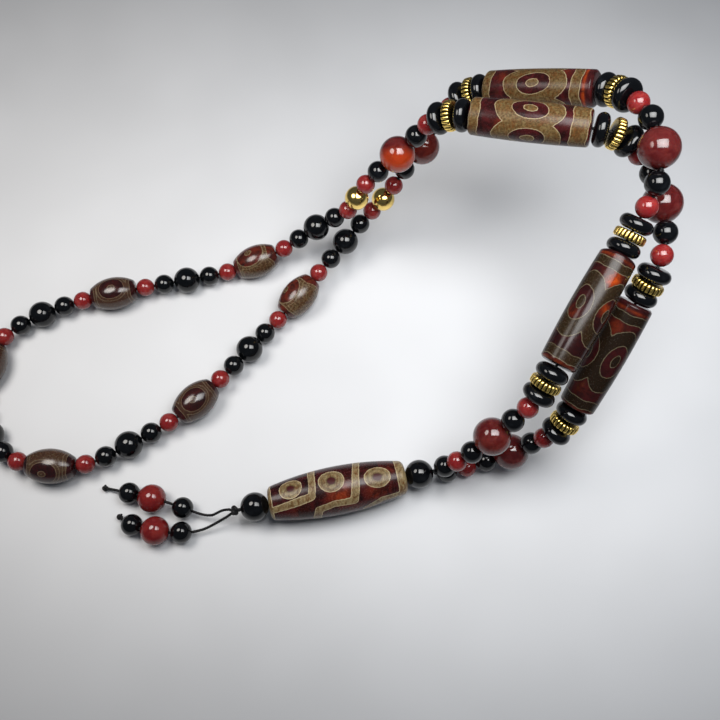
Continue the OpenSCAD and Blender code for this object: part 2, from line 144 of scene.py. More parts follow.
# How much painted glow the eyes of each barrel have
BARREL_HEATS = (0.12, 0.01, 0, 0.01, 0.01, 0.1)
# Where each tube has painted glow: millimetres from its middle, degrees, width in millimetres,
# strength
TUBE_GLOWS = (((8.6, -8, 1.9, 0.55), (1.5, -30, 1.4, 0.3), (-2.5, 52, 1.5, 0.15)),
              ((-8.5, 25, 2.0, 0.12), (7.0, 40, 1.8, 0.12)),
              ((-6.5, -32, 1.4, 0.15),),
              ((8.0, 28, 2.4, 0.1), (-9.0, 30, 2.0, 0.03)))
# Where the pendant has painted glow, in the same way
PENDANT_GLOWS = ((0.5, 0, 3.2, 0.8), (10.5, -14, 3.0, 0.4), (15.0, 40, 2.4, 0.2),
                 (-11.0, -32, 3.0, 0.2), (3.0, -46, 2.2, 0.4),
                 (0.5, 180, 3.2, 0.6), (-10.5, 150, 3.0, 0.4))
# Where along a barrel it has a pale stripe, in millimetres, 0 for none
BARREL_STRIPES = (3.9, 0, 0, 0, 0, 3.9)
# How much painted orange glow lies on the lower half of each large carnelian, the half that faces
# down in the camera's picture
CARNELIAN_PAINTED_GLOW = (0.1, 0.0, 0.15, 1.0, 0.0, 0.0)
# What a dzi bead's number is multiplied by to give the phase of its pattern's wobble
SEED_STEP = 1.7

# A rectangular panel and a round lamp, close over the necklace and tilted a little back:
# name, place, sides, shape, power in watts, spread in degrees, tint
LAMPS = (
    ("panel", (0.022, -0.056, 0.150), (0.150, 0.115), "RECTANGLE", 0.25, 105, "FFFFFF"),
    ("lamp", (-0.165, -0.038, 0.140), (0.12, 0.12), "DISK", 0.25, 140, "FFFAF4"),
)
LAMP_TILT = math.radians(12)
# Half the floor's side in metres, and how many cells lie along it
FLOOR_HALF, FLOOR_CELLS = 3.0, 24


def linear(code):
    """Turns an sRGB colour written as six hex digits into a linear colour with alpha: below
    0.04045 a channel is divided by 12.92, above it is ((c + 0.055) / 1.055) to the power 2.4."""
    channels = [int(code[i:i + 2], 16) / 255 for i in (0, 2, 4)]
    return tuple(c / 12.92 if c <= 0.04045 else ((c + 0.055) / 1.055) ** 2.4
                 for c in channels) + (1.0,)


# Settings

def length(name, description, default):
    """A length setting in metres."""
    return bpy.props.FloatProperty(name=name, description=description, default=default * MM,
                                   min=0, precision=5, unit="LENGTH")


def colour(name, description, code):
    """A colour setting, given in sRGB and kept as a linear colour."""
    return bpy.props.FloatVectorProperty(name=name, description=description, size=4,
                                         subtype="COLOR", min=0, max=1, default=linear(code))


class NecklaceSettings(bpy.types.PropertyGroup):
    """Sizes and colours of the necklace"""

    small_onyx_d: length("Small onyx", "Diameter of the small onyx beads", 6)
    small_carnelian_d: length("Small carnelian", "Diameter of the small carnelian beads", 5.5)
    rondelle_d: length("Rondelle", "Diameter of the onyx rondelles", 8.5)
    rondelle_l: length("Rondelle length", "Length of a rondelle along the thread", 3.4)
    large_carnelian_d: length("Large carnelian", "Diameter of the large carnelians", 10)
    large_onyx_d: length("Large onyx", "Diameter of the large onyx beads", 8)
    gilt_ball_d: length("Gilt ball", "Diameter of the gilt balls", 7)
    spacer_d: length("Gilt spacer", "Diameter of the gilt spacers over the ribs", 8)
    spacer_l: length("Spacer length", "Length of a spacer along the thread", 2.3)
    spacer_rib_depth: length("Rib depth", "Depth of the grooves between the ribs", 0.5)
    spacer_ribs: bpy.props.IntProperty(
        name="Ribs", description="Number of ribs round a spacer", default=22, min=8)
    tube_l: length("Tube length", "Length of a dzi tube", 30)
    tube_d: length("Tube", "Diameter of a dzi tube at its middle", 10)
    tube_taper: length("Tube taper", "How much slimmer its radius is at the ends", 0.4)
    tube_bevel: length("Tube bevel", "Width of its worn bevel", 0.5)
    barrel_l: length("Barrel length", "Length of a dzi barrel", 13.8)
    barrel_d: length("Barrel", "Diameter of a dzi barrel at its middle", 10)
    barrel_taper: length("Barrel taper", "How much slimmer its radius is at the ends", 2.3)
    barrel_bevel: length("Barrel bevel", "Width of its worn bevel", 0.3)
    pendant_l: length("Pendant length", "Length of the pendant bead", 38.5)
    pendant_d: length("Pendant", "Diameter of the pendant bead at its middle", 13.5)
    pendant_taper: length("Pendant taper", "How much slimmer its radius is at the ends", 2.25)
    pendant_bevel: length("Pendant bevel", "Width of its worn bevel", 0.7)
    pendant_heading: bpy.props.FloatProperty(
        name="Pendant heading", description="Heading of the pendant bead in plan",
        default=math.radians(11.5), subtype="ANGLE", unit="ROTATION")
    tail_onyx_d: length("Tail onyx", "Diameter of the onyx beads on the tails", 6)
    tail_carnelian_d: length("Tail carnelian", "Diameter of the carnelians on the tails", 8)
    rear_tail_bare_l: length("Rear bare thread", "Bare thread of the rear tail", 12)
    front_tail_bare_l: length("Front bare thread", "Bare thread of the front tail", 12.5)
    rear_tail_space: length("Rear space", "Bare thread between two rear tail beads", 2.2)
    rear_tail_rest_l: length("Rear rest", "Bare thread before the rear end knot", 4)
    front_tail_rest_l: length("Front rest", "Bare thread before the front end knot", 1)
    tail_play: length("Tail play", "Gap between the last two beads of a tail", 0.3)
    knot_d: length("Knot", "Diameter of the knot under the pendant", 3)
    end_knot_d: length("End knot", "Diameter of the knots that end the tails", 2)
    thread_d: length("Thread", "Diameter of the thread", 0.8)
    bead_bore_d: length("Bore", "Bore of the beads that hold one strand", 1.2)
    double_bore_d: length("Double bore", "Bore of the beads that hold both strands", 2)
    bead_play: length("Play", "Least gap between neighbours on the thread", 0.12)
    strand_gap: length("Strand gap", "Gap between the two strands in the pendant", 0.1)
    mouth_bare_l: length("Mouth", "Bare thread before the first bead of each strand", 2.2)

    onyx: colour("Onyx", "Body of the black agate", "050608")
    onyx_cloud: colour("Onyx cloud", "Paler clouds in the black agate", "0E1013")
    carnelian: colour("Carnelian", "Body of the small carnelians", "741B1D")
    carnelian_cloud: colour("Carnelian cloud", "Paler clouds in the small ones", "842F2D")
    tail_carnelian: colour("Tail carnelian", "Body of the carnelians on the tails", "681416")
    tail_cloud: colour("Tail cloud", "Paler clouds in those on the tails", "7C2724")
    deep_carnelian: colour("Deep carnelian", "Body of the large carnelians", "450F10")
    deep_cloud: colour("Deep cloud", "Paler clouds in the large ones", "5A2220")
    # Painted glow: the orange laid on the lower side of the large carnelians
    painted_glow_orange: colour("Orange carnelian", "Orange part of one large bead", "9C3410")
    gilt: colour("Gilt", "Gold plating of the balls", "F2D27C")
    gilt_rib: colour("Gilt ribs", "Gold plating of the spacers", "FFDC7A")
    # Brown tarnish in patches and in the grooves, with painted shade in the grooves and on the
    # spacers' flat faces
    gilt_tarnish_and_shade: colour("Gilt shade", "Tarnish in the grooves of the plating", "1E1408")
    agate: colour("Agate", "Dark ground of the dzi stones", "1E0B0B")
    agate_red: colour("Agate red", "Redder parts of the ground", "3C1314")
    # The colours of the painted glow on the dzi beads and the pendant
    agate_glow: colour("Agate glow", "Orange patches of the ground", "B0440E")
    pendant_glow: colour("Pendant glow", "Warmer patches of the pendant", "7A2E14")
    etched: colour("Etched", "Etched fields of the palest tubes", "685636")
    etched_warm: colour("Etched warm", "Browner clouds of the etched fields", "5C3A1B")
    etched_dark: colour("Etched dark", "Darker grain of the etched fields", "3A2712")
    # On the darkest tubes this colour is painted shade over the etched fields
    etched_deep_and_shaded: colour("Etched deep", "Etched fields of the darkest beads", "1A120B")
    etched_red: colour("Etched red", "Etched fields of the darkest barrels", "36211B")
    etched_pale: colour("Etched pale", "Etched lines of the pendant", "8B7B59")
    outline: colour("Outline", "Pale outline of the etched fields", "BCAE8C")
    thread: colour("Thread", "Waxed black thread", "060607")
    thread_fibre: colour("Thread fibre", "Paler fibres of the thread", "121114")
    floor: colour("Floor", "Pale floor", "C9CBCE")


# The chain of beads

def unit(v):
    """Vectors divided by their lengths."""
    return v / np.linalg.norm(v, axis=-1, keepdims=True)


def curve(points, steps=CURVE_STEPS):
    """A smooth line through points: cubic Hermite pieces whose slopes are the means of the two
    neighbouring directions, each weighted with the span on the other side."""
    way = np.diff(points, axis=0)
    span = np.linalg.norm(way, axis=1)[:, None]
    way = way / span
    middle = (span[:-1] * way[1:] + span[1:] * way[:-1]) / (span[:-1] + span[1:])
    slope = np.vstack([way[:1], middle, way[-1:]])
    t = (np.arange(steps) / steps)[None, :, None]
    line = ((2 * t**3 - 3 * t**2 + 1) * points[:-1, None]
            + (t**3 - 2 * t**2 + t) * (span * slope[:-1])[:, None]
            + (3 * t**2 - 2 * t**3) * points[1:, None]
            + (t**3 - t**2) * (span * slope[1:])[:, None])
    return np.vstack([line.reshape(-1, 3), points[-1:]])


def walk(line, reaches):
    """Walks along a line in straight steps of the given lengths: each step ends where the
    sphere of its length round the last point cuts the line."""
    i, p = 0, line[0]
    places, samples = [p], [0]
    for reach in reaches:
        while i < len(line) - 2 and np.linalg.norm(line[i + 1] - p) < reach:
            i += 1
        u, w = line[i + 1] - line[i], line[i] - p
        half, square = w @ u, u @ u
        root = math.sqrt(max(half * half - square * (w @ w - reach * reach), 0))
        p = line[i] + u * (root - half) / square
        places.append(p)
        samples.append(i)
    return np.array(places), samples


def reached(line):
    """How far along a line each of its points lies: the running sum of their distances."""
    return np.concatenate([[0], np.cumsum(np.linalg.norm(np.diff(line, axis=0), axis=1))])


def bead_length(s, kind):
    """How far a bead reaches along the thread."""
    return {"onyx": s.small_onyx_d, "carnelian": s.small_carnelian_d, "rondelle": s.rondelle_l,
            "spacer": s.spacer_l, "tube": s.tube_l, "barrel": s.barrel_l,
            "ball": s.gilt_ball_d, "large carnelian": s.large_carnelian_d,
            "large onyx": s.large_onyx_d}[kind]


def face_radius(s, kind):
    """Radius of the flat face at the end of a bead, 0 for a round bead."""
    return {"rondelle": (s.rondelle_d - s.rondelle_l) / 2, "spacer": s.spacer_d / 2,
            "tube": s.tube_d / 2 - s.tube_taper - s.tube_bevel,
            "barrel": s.barrel_d / 2 - s.barrel_taper - s.barrel_bevel}.get(kind, 0)


def joint_gap(s, a, b, bend):
    """The gap two neighbours need where the thread bends: flat ends tilt on the smaller face
    and its rounded rim, a round end rolls off the other bead."""
    flat = min(face_radius(s, a), face_radius(s, b))
    if flat == 0:
        rolling = 1 / sum(2 / bead_length(s, k) for k in (a, b) if not face_radius(s, k))
    else:
        rolling = s.rondelle_l / 2 if "rondelle" in (a, b) else 0
    tilt = s.bead_play + flat * math.sin(bend) + rolling * (1 - math.cos(bend))
    return tilt * 2 / (1 + math.cos(bend))


def settled_string(s):
    """Where each bead of the string lies: the route is scaled and the gaps are refitted in
    rounds until the beads just fill it. Returns the scale, the joints and the gaps."""
    line = curve(ROUTE)
    whole = reached(line)[-1]
    lengths = np.array([bead_length(s, kind) for kind in STRING])
    gaps = np.full(len(STRING) + 1, s.bead_play)
    gaps[[0, -1]] = s.thread_d
    scale = 1.0
    for settling in range(SETTLE_ROUNDS + 1):
        reaches = [s.mouth_bare_l, *(lengths + (gaps[:-1] + gaps[1:]) / 2)]
        joints, samples = walk(scale * line, reaches)
        if settling == SETTLE_ROUNDS:
            return scale, joints, gaps
        i, end = samples[-1], scale * line[-1]
        if i >= len(line) - 2:
            left = -np.linalg.norm(end - joints[-1])
        else:
            left = reached(np.vstack([joints[-1:], scale * line[i + 1:]]))[-1]
        way = unit(np.diff(joints, axis=0))
        bend = np.arccos(np.clip((way[:-1] * way[1:]).sum(axis=1), -1, 1))
        wanted = [joint_gap(s, STRING[k - 1], STRING[k], min(MOST_BEND, bend[k]))
                  for k in range(1, len(STRING))]
        gaps[1:-1] = (gaps[1:-1] + wanted) / 2
        scale *= 1 - (left - s.mouth_bare_l) / (scale * whole)


class Layout:
    """Where every bead and thread lies."""

    def __init__(self, s):
        scale, self.joints, gaps = settled_string(s)
        lengths = np.array([bead_length(s, kind) for kind in STRING])
        self.way = unit(np.diff(self.joints, axis=0)[1:])
        self.middle = self.joints[1:-1] + self.way * ((gaps[:-1] + lengths) / 2)[:, None]
        self.mouth = scale * ROUTE[0]
        heading = s.pendant_heading
        self.pendant_way = np.array([math.cos(heading), math.sin(heading), 0])
        # How far back from the mouth the middles of the beads and the knot lie
        sizes = np.array([s.thread_d, s.large_onyx_d, s.pendant_l, s.large_onyx_d, s.knot_d])
        steps = (sizes[:-1] + sizes[1:]) / 2 + s.bead_play
        self.upper_back, self.pendant_back, self.lower_back, self.knot_back = np.cumsum(steps)
        self.tails = {
            "rear": self.tail(s, REAR_TAIL_ROUTE, s.rear_tail_bare_l, s.rear_tail_space,
                              s.rear_tail_rest_l),
            "front": self.tail(s, FRONT_TAIL_ROUTE, s.front_tail_bare_l, s.tail_play,
                               s.front_tail_rest_l)}

    def places(self, kind):
        """Middle and direction of each bead of one kind, in the order of the string."""
        return [(self.middle[i], self.way[i]) for i, k in enumerate(STRING) if k == kind]

    def on_pendant(self, back):
        """The point on the pendant's axis that lies this far back from the mouth."""
        return self.mouth - back * self.pendant_way

    def tail(self, s, route, bare, space, rest):
        """The joints of a tail: the knot, four parts of bare thread, three beads, the rest."""
        reaches = [s.knot_d / 2 + 2 * s.bead_play, *[bare / 4] * 4, s.tail_onyx_d + space / 2,
                   space / 2 + s.tail_carnelian_d + s.tail_play / 2,
                   s.tail_play / 2 + s.tail_onyx_d, rest]
        return walk(curve(route), reaches)[0] + self.on_pendant(self.knot_back)

    def tail_beads(self, s, tail):
        """Middle and direction of the three beads of a tail: onyx, carnelian, onyx."""
        way = unit(np.diff(tail[5:9], axis=0))
        return [(tail[5] + way[0] * s.tail_onyx_d / 2, way[0]),
                (tail[7] - way[1] * (s.tail_play + s.tail_carnelian_d) / 2, way[1]),
                (tail[8] - way[2] * s.tail_onyx_d / 2, way[2])]


def plan(context):
    """The settings, and where every bead and thread lies by them."""
    s = context.scene.necklace
    return s, Layout(s)


# Surfaces

def parabolas(corners, before, after, reach, steps=5):
    """Parabolas that replace corners: a and b lie the given reach back from the corner towards
    the points before and after it, and the curve is (1-t)^2 a + 2t(1-t) corner + t^2 b."""
    a = corners + reach * unit(before - corners)
    b = corners + reach * unit(after - corners)
    t = np.linspace(0, 1, steps)[None, :, None]
    return (1 - t) ** 2 * a[:, None] + 2 * t * (1 - t) * corners[:, None] + t**2 * b[:, None]


def rounded(corners, radii, steps=5):
    """A closed outline whose corners are replaced by parabolas, each with its own radius."""
    corners = np.asarray(corners, float)
    arcs = parabolas(corners, np.roll(corners, 1, axis=0), np.roll(corners, -1, axis=0),
                     np.asarray(radii, float)[:, None], steps)
    return np.vstack([arc if r > 0 else arc[:1] for arc, r in zip(arcs, radii)])


def drilled(outside, bore_d, mouth, rows=(0.3, 0.5, 0.7), radii=None):
    """The closed outline of a drilled bead from its outer side, given from the lower to the
    upper end as radius and height: the bore closes it, with a rounded mouth at both ends and
    points at the given shares of its length. Radii are those of the outer side's corners."""
    top, bottom = outside[-1][1], outside[0][1]
    bore = [(bore_d / 2, top - (top - bottom) * t) for t in (0, *rows, 1)]
    radii = [0] * len(outside) if radii is None else radii
    return rounded(np.vstack([outside, bore]), [*radii, mouth, 0, 0, 0, mouth])


def ball_outline(d, bore_d, rows):
    """A sphere of the given diameter, x = d/2 sin a and z = -d/2 cos a, cut where the mouth of
    its bore begins."""
    mouth = 0.15 * MM
    first = math.asin((bore_d / 2 + mouth) * 2 / d)
    turn = np.linspace(first, math.pi - first, rows)
    outside = np.stack([d / 2 * np.sin(turn), -d / 2 * np.cos(turn)], axis=1)
    return drilled(outside, bore_d, mouth * 0.9)


def barrel_outline(l, d, taper, bevel, bore_d, rows):
    """A long bead: its side is one circular arc that falls by the taper at both ends, then a
    worn bevel at 45 degrees and a flat face. The bevel's two corners are rounded."""
    arc_r = (l * l / 4 + taper * taper) / (2 * taper)
    z = np.linspace(-l / 2 + 2 * bevel, l / 2 - 2 * bevel, rows)
    side = np.stack([d / 2 - arc_r + np.sqrt(arc_r**2 - z**2), z], axis=1)
    face_r = d / 2 - taper - bevel
    edge_z = l / 2 - bevel
    edge_r = d / 2 - arc_r + math.sqrt(arc_r**2 - edge_z**2)
    low = [(bore_d / 2 + 3 * MOUTH, -l / 2), (face_r, -l / 2), (edge_r, -edge_z)]
    high = [(edge_r, edge_z), (face_r, l / 2), (bore_d / 2 + 3 * MOUTH, l / 2)]
    worn = 0.45 * bevel
    return drilled(np.vstack([low, side, high]), bore_d, MOUTH, (0.2, 0.5, 0.8),
                   [0, worn, worn] + [0] * rows + [worn, worn, 0])


def rondelle_outline(d, l, bore_d, rows=14):
    """A flat bead whose rim is a half circle of the bead's own thickness."""
    turn = np.linspace(-math.pi / 2, math.pi / 2, rows)
    rim = np.stack([(d - l) / 2 + l / 2 * np.cos(turn), l / 2 * np.sin(turn)], axis=1)
    flat = bore_d / 2 + 2 * MOUTH
    outside = np.vstack([[(flat, -l / 2)], rim, [(flat, l / 2)]])
    return drilled(outside, bore_d, MOUTH)


def bead_axes(way):
    """Two directions square to a bead's axis: one towards the camera, the other up in the
    picture. The axis is first turned so that it points to the right."""
    way = way if way[0] >= 0 else -way
    view = np.array((CAMERA_AT - CAMERA_LOOKS_AT).normalized())
    near = unit(view - way * (view @ way))
    return way, near, np.cross(near, way)


def turned(outline, place, way, columns):
    """Turns an outline about an axis: p = place + r (cos a near + sin a up) + z way, for a in
    even steps of the whole circle. Gives the grid of points and the angles."""
    way, near, up = bead_axes(way)
    angle = ring_angles(columns)
    r, z = outline[:, 0, None, None], outline[:, 1, None, None]
    ring = np.cos(angle)[:, None] * near + np.sin(angle)[:, None] * up
    return place + r * ring[None] + z * way, angle


def unrolled(outline, place, way, columns):
    """A turned bead as a grid of points, with what a pattern needs at each of them: how far it
    lies along the axis, its angle and its distance from the axis."""
    grid, angle = turned(outline, place, way, columns)
    x, angle = np.meshgrid(outline[:, 1], angle, indexing="ij")
    return grid, x, angle, np.broadcast_to(outline[:, :1], x.shape)


def grid_faces(rows, columns, first, closed):
    """Four-cornered faces of a grid that closes round its columns and, where told, its rows."""
    i = np.arange(rows if closed else rows - 1)[:, None]
    j = np.arange(columns)[None, :]
    a = i * columns + j
    b = (i + 1) % rows * columns + j
    c = (i + 1) % rows * columns + (j + 1) % columns
    d = i * columns + (j + 1) % columns
    return first + np.stack([a, b, c, d], axis=-1).reshape(-1, 4)


def give(piece, values):
    """Gives a piece its named values, one array each with a number for every vertex."""
    for key, value in values.items():
        made = piece.data.attributes.new(key, "FLOAT", "POINT")
        made.data.foreach_set("value", np.asarray(value, np.float32).ravel())


def build(name, node, grids, material, closed=True, values=None):
    """Makes one piece from grids of points, gives it its named values, rides it on the root
    body, and lets it stand for its solid. An open grid is closed by a face at either end."""
    faces, first = [], 0
    for grid in grids:
        rows, columns = grid.shape[:2]
        faces += grid_faces(rows, columns, first, closed).tolist()
        if not closed:
            faces.append(list(range(first, first + columns)))
            last = first + (rows - 1) * columns
            faces.append(list(range(last + columns - 1, last - 1, -1)))
        first += rows * columns
    mesh = bpy.data.meshes.new(name)
    mesh.from_pydata(np.vstack([grid.reshape(-1, 3) for grid in grids]), [], faces)
    mesh.update()
    mesh.shade_smooth()
    mesh.materials.append(material)
    piece = bpy.data.objects.new(name, mesh)
    give(piece, values or {})
    bpy.context.scene.collection.objects.link(piece)
    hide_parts(node)
    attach(piece, "root")
    return piece


def balls(name, node, places, d, bore_d, material, steps=(40, 22)):
    """Drilled round beads of one size, all in one piece; steps is how many columns and rows
    each has."""
    columns, rows = steps
    outline = ball_outline(d, bore_d, rows)
    grids = [turned(outline, place, way, columns)[0] for place, way in places]
    return build(name, node, grids, material)


def single_balls(s, layout, kind, name, node, d, material, steps=LARGE):
    """A piece of its own for each round bead of one kind; name and node get its number."""
    return [balls(f"{name}_{number}", f"{node}_{number}", [place], d, s.bead_bore_d, material,
                  steps)
            for number, place in enumerate(layout.places(kind), 1)]


def ring_angles(columns):
    """Angles in even steps of the whole circle."""
    return np.arange(columns) * 2 * math.pi / columns


def rings(line, r, angle, side, up):
    """Rings round a line: p = line + r (cos a side + sin a up)."""
    return line[:, None] + r * (np.cos(angle)[..., None] * side[:, None]
                                + np.sin(angle)[..., None] * up[:, None])


def cord_frames(line):
    """A direction square to a line at each of its points that turns as little as it can: the
    last one, less its part along the next direction."""
    way = unit(np.vstack([line[1:2] - line[:1], line[2:] - line[:-2], line[-1:] - line[-2:-1]]))
    side = np.cross(way[0], [0.3, 0.2, 0.9])
    sides = []
    for w in way:
        side = side - w * (side @ w)
        side = side / np.linalg.norm(side)
        sides.append(side)
    sides = np.array(sides)
    return sides, np.cross(way, sides)


def twisted(line, d, plies=3, pitch=2.4 * MM, columns=18):
    """A twisted thread: p = line + r(a) (cos(a - t) side + sin(a - t) up), where t grows by a
    whole turn each pitch and r(a) = d/2 (1 - 0.16 (1 - |cos(plies a / 2)|)^1.4) makes plies."""
    a = ring_angles(columns)
    r = d / 2 * (1 - 0.16 * (1 - np.abs(np.cos(plies * a / 2))) ** 1.4)
    turn = a[None, :] - reached(line)[:, None] / pitch * 2 * math.pi
    return rings(line, r[None, :, None], turn, *cord_frames(line))


def bent(points, reach, spacing):
    """A line along straight parts whose corners are replaced by parabolas that reach back by
    the given length, with points at even spacing along it."""
    arcs = parabolas(points[1:-1], points[:-2], points[2:], reach)
    line = np.vstack([points[:1], arcs.reshape(-1, 3), points[-1:]])
    along = reached(line)
    wanted = np.linspace(0, along[-1], max(2, int(round(along[-1] / spacing))))
    return np.stack([np.interp(wanted, along, line[:, k]) for k in range(3)], axis=1)


def knot_line(middle, way, d, thread_d):
    """The line of an overhand knot: a trefoil, (2 + cos 3t)(cos 2t, sin 2t) and 1.4 sin 3t,
    scaled so that a thread laid along it just fills the knot's diameter."""
    way, near, up = bead_axes(way)
    t = np.linspace(0, 2 * math.pi, 90, endpoint=False)
    ring = 2 + np.cos(3 * t)
    flat = np.stack([ring * np.cos(2 * t), ring * np.sin(2 * t), 1.4 * np.sin(3 * t)], axis=1)
    flat *= (d - thread_d) / 2 / np.linalg.norm(flat, axis=1).max()
    return middle + flat[:, :1] * up + flat[:, 1:2] * near + flat[:, 2:] * way


def closed_tube(line, d, columns=16):
    """A round tube along a closed line: rings of radius d/2, with up the cross product of the
    direction and a side that points away from the middle of the line."""
    way = unit(np.roll(line, -1, axis=0) - np.roll(line, 1, axis=0))
    out = line - line.mean(axis=0)
    side = unit(out - way * (out * way).sum(axis=1, keepdims=True))
    return rings(line, d / 2, -ring_angles(columns)[None, :], side, np.cross(way, side))


# Etched patterns

def oval(x, y, a, b):
    """How far a point lies inside an oval: k (1 - k) / |gradient of k|, where k is the root of
    (x/a)^2 + (y/b)^2. Negative outside."""
    k = np.sqrt((x / a) ** 2 + (y / b) ** 2) + 1e-9
    return k * (1 - k) / (np.hypot(x / a**2, y / b**2) + 1e-9)


def round_trip(angle):
    """An angle brought to the half turn on either side of zero."""
    return (angle + math.pi) % (2 * math.pi) - math.pi


def glows(x, angle, r, spots):
    """How much painted glow the stone has: each spot is exp(-(distance / width)^2) times its
    strength.
    """
    heat = np.zeros(x.shape)
    for along, degrees, width, strength in spots:
        y = r * round_trip(angle - math.radians(degrees))
        away = ((x - along * MM) ** 2 + y**2) / (width * MM) ** 2
        heat = np.maximum(heat, strength * np.exp(-away))
    return heat


def tube_pattern(x, angle, r, turn, seed, bands):
    """Four ovals round the tube: a dark eye with a pale ring in it, in a pale field whose lobes
    meet between the eyes and leave dark teeth; a pale band near either end. The lines waver by
    0.2 to 0.3 mm, as if drawn by hand, and the eyes sit a little off the middle."""
    wave = np.sin(3 * angle + seed) + 0.6 * np.sin(7 * angle + 2 * seed)
    x = x + 0.18 * MM * wave
    field = np.full(x.shape, -np.inf)
    eye, dot = field.copy(), field.copy()
    for k in range(4):
        y = r * round_trip(angle - turn - k * math.pi / 2)
        y = y + 0.15 * MM * np.sin(x / (2.1 * MM) + seed + k)
        off = 0.35 * MM * math.sin(5 * seed + 2.4 * k)
        field = np.maximum(field, oval(x, y, *TUBE_FIELD))
        eye = np.maximum(eye, oval(x - off, y, *TUBE_EYE))
        dot = np.maximum(dot, oval(x - 1.6 * off, y, *TUBE_RING))
    a, b, c, d = (v * MM for v in bands)
    band = np.maximum(np.minimum(x - a, b - x), np.minimum(x - c, d - x))
    return np.maximum(np.maximum(np.minimum(field, -eye), dot), band)


def barrel_pattern(x, angle, r, turn, seed, stripe):
    """Two ovals on the barrel: a dark eye with a small pale ring in it, on a pale field that
    ends in dark caps. A bead with a stripe has larger eyes, and on their side its cap reaches
    down to them, with the pale stripe across it. The lines waver by some 0.2 mm."""
    wave = np.sin(2 * angle + seed) + 0.5 * np.sin(5 * angle + 2 * seed)
    x = x + 0.15 * MM * wave
    size, off = BARREL_EYE, 0.6 * MM * math.sin(7 * seed)
    if stripe:
        size, off = STRIPED_EYE, -0.9 * MM
    eye = np.full(x.shape, -np.inf)
    dot = eye.copy()
    for k in range(2):
        y = r * round_trip(angle - turn - k * math.pi)
        eye = np.maximum(eye, oval(x - off, y, *size))
        dot = np.maximum(dot, oval(x - 1.4 * off, y, *BARREL_RING))
    field = BARREL_FIELD - np.abs(x)
    if stripe:
        cap = BARREL_FIELD - x - 2.6 * MM * np.cos(angle - turn) ** 2
        field = np.minimum(field, cap)
        dot = np.maximum(dot, 0.6 * MM - np.abs(x - stripe * MM))
    return np.maximum(np.minimum(field, -eye), dot)


# The pendant's etched lines, as distance along the axis in millimetres and angle in degrees
# from the camera's side upwards. The same lines stand on its far side, half a turn on.
PENDANT_LINES = (
    ((-6.5, 90), (-6.7, 32), (-7.3, 6), (-12.6, -4), (-17.5, -14), (-20, -18)),
    ((6.4, 90), (6.1, 69), (4.8, 5), (3.8, -24), (-1.6, -22), (-5.9, -31), (-6.8, -60),
     (-6.5, -90)),
    ((20, -50), (17.4, -49), (11.6, -44), (7.2, -64), (6.4, -90)),
)
PENDANT_LINE_HALF = 1.05 * MM
# Its eyes: distance and angle as above, half the length and width in millimetres
PENDANT_EYES = ((-12.7, 39, 3.2, 2.9), (-1.4, 34, 3.6, 3.2), (11.2, 23, 3.7, 3.0))
# Where the pale bands at its ends begin
PENDANT_BANDS = (-18.2 * MM, 16.6 * MM)


def line_distance(x, y, start, end):
    """How far a point lies from a straight piece of line."""
    (ax, ay), (bx, by) = start, end
    ux, uy = bx - ax, by - ay
    t = np.clip(((x - ax) * ux + (y - ay) * uy) / (ux * ux + uy * uy), 0, 1)
    return np.hypot(x - ax - t * ux, y - ay - t * uy)


def pendant_pattern(x, angle, r):
    """Three pale eyes in a row on either side, stepped pale lines between them and a pale band
    at either end; the lines' width wavers by 0.1 mm. Gives the depth in the pale parts and the
    distance from the next eye."""
    lines, near = np.full(x.shape, np.inf), np.full(x.shape, np.inf)
    eyes = np.full(x.shape, -np.inf)
    wave = 0.1 * MM * np.sin(x / (2.3 * MM) + 2 * angle)
    for half in (0, math.pi):
        for points in PENDANT_LINES:
            for (ax, ad), (bx, bd) in zip(points, points[1:]):
                y = r * round_trip(angle - half - math.radians((ad + bd) / 2))
                rise = r * math.radians(bd - ad) / 2
                lines = np.minimum(lines, line_distance(
                    x, y, (ax * MM, -rise), (bx * MM, rise)))
        for ex, ed, a, b in PENDANT_EYES:
            y = r * round_trip(angle - half - math.radians(ed))
            eyes = np.maximum(eyes, oval(x - ex * MM, y, a * MM, b * MM))
            # The distance from an eye's middle, counted as if each were 3.2 mm large
            near = np.minimum(near, np.hypot((x / MM - ex) / a, y / MM / b) * 3.2)
    depth = np.maximum(PENDANT_LINE_HALF - lines + wave, eyes)
    low, high = PENDANT_BANDS
    return np.maximum(depth, np.maximum(low - x, x - high)), near


# Materials. Agate and carnelian are both chalcedony, so they share one refractive index.

STONE_IOR = 1.54
# The depth in a groove, from 0 to 1, from which the plating is fully darkened by tarnish and
# painted shade; the spacers' flat faces get this much painted shade
FULL_TARNISH_AND_SHADE = 0.42

# Nodes with what they are told. A step goes smoothly from the fourth value to the fifth while
# the first goes from the second to the third.
STEP = "MapRange", {"interpolation_type": "SMOOTHSTEP"}
MIX = "Mix", {"data_type": "RGBA"}
PLUS, TIMES, TIMES_PLUS, MAXIMUM, SINE, ABSOLUTE = (
    ("Math", {"operation": operation})
    for operation in ("ADD", "MULTIPLY", "MULTIPLY_ADD", "MAXIMUM", "SINE", "ABSOLUTE"))


def add(tree, kind, inputs=(), out=0):
    """Adds one node to a tree: kind is its type, alone or with its own settings, inputs its
    sockets in their order or by name or number, each either a value or another node's output.
    Gives one output, found by name or number."""
    kind, choices = kind if isinstance(kind, tuple) else (kind, {})
    made = tree.nodes.new("ShaderNode" + kind)
    for key, value in choices.items():
        setattr(made, key, value)
    for key, value in inputs.items() if isinstance(inputs, dict) else enumerate(inputs):
        if isinstance(value, bpy.types.NodeSocket):
            tree.links.new(value, made.inputs[key])
        else:
            made.inputs[key].default_value = value
    return made.outputs[out] if made.outputs else None


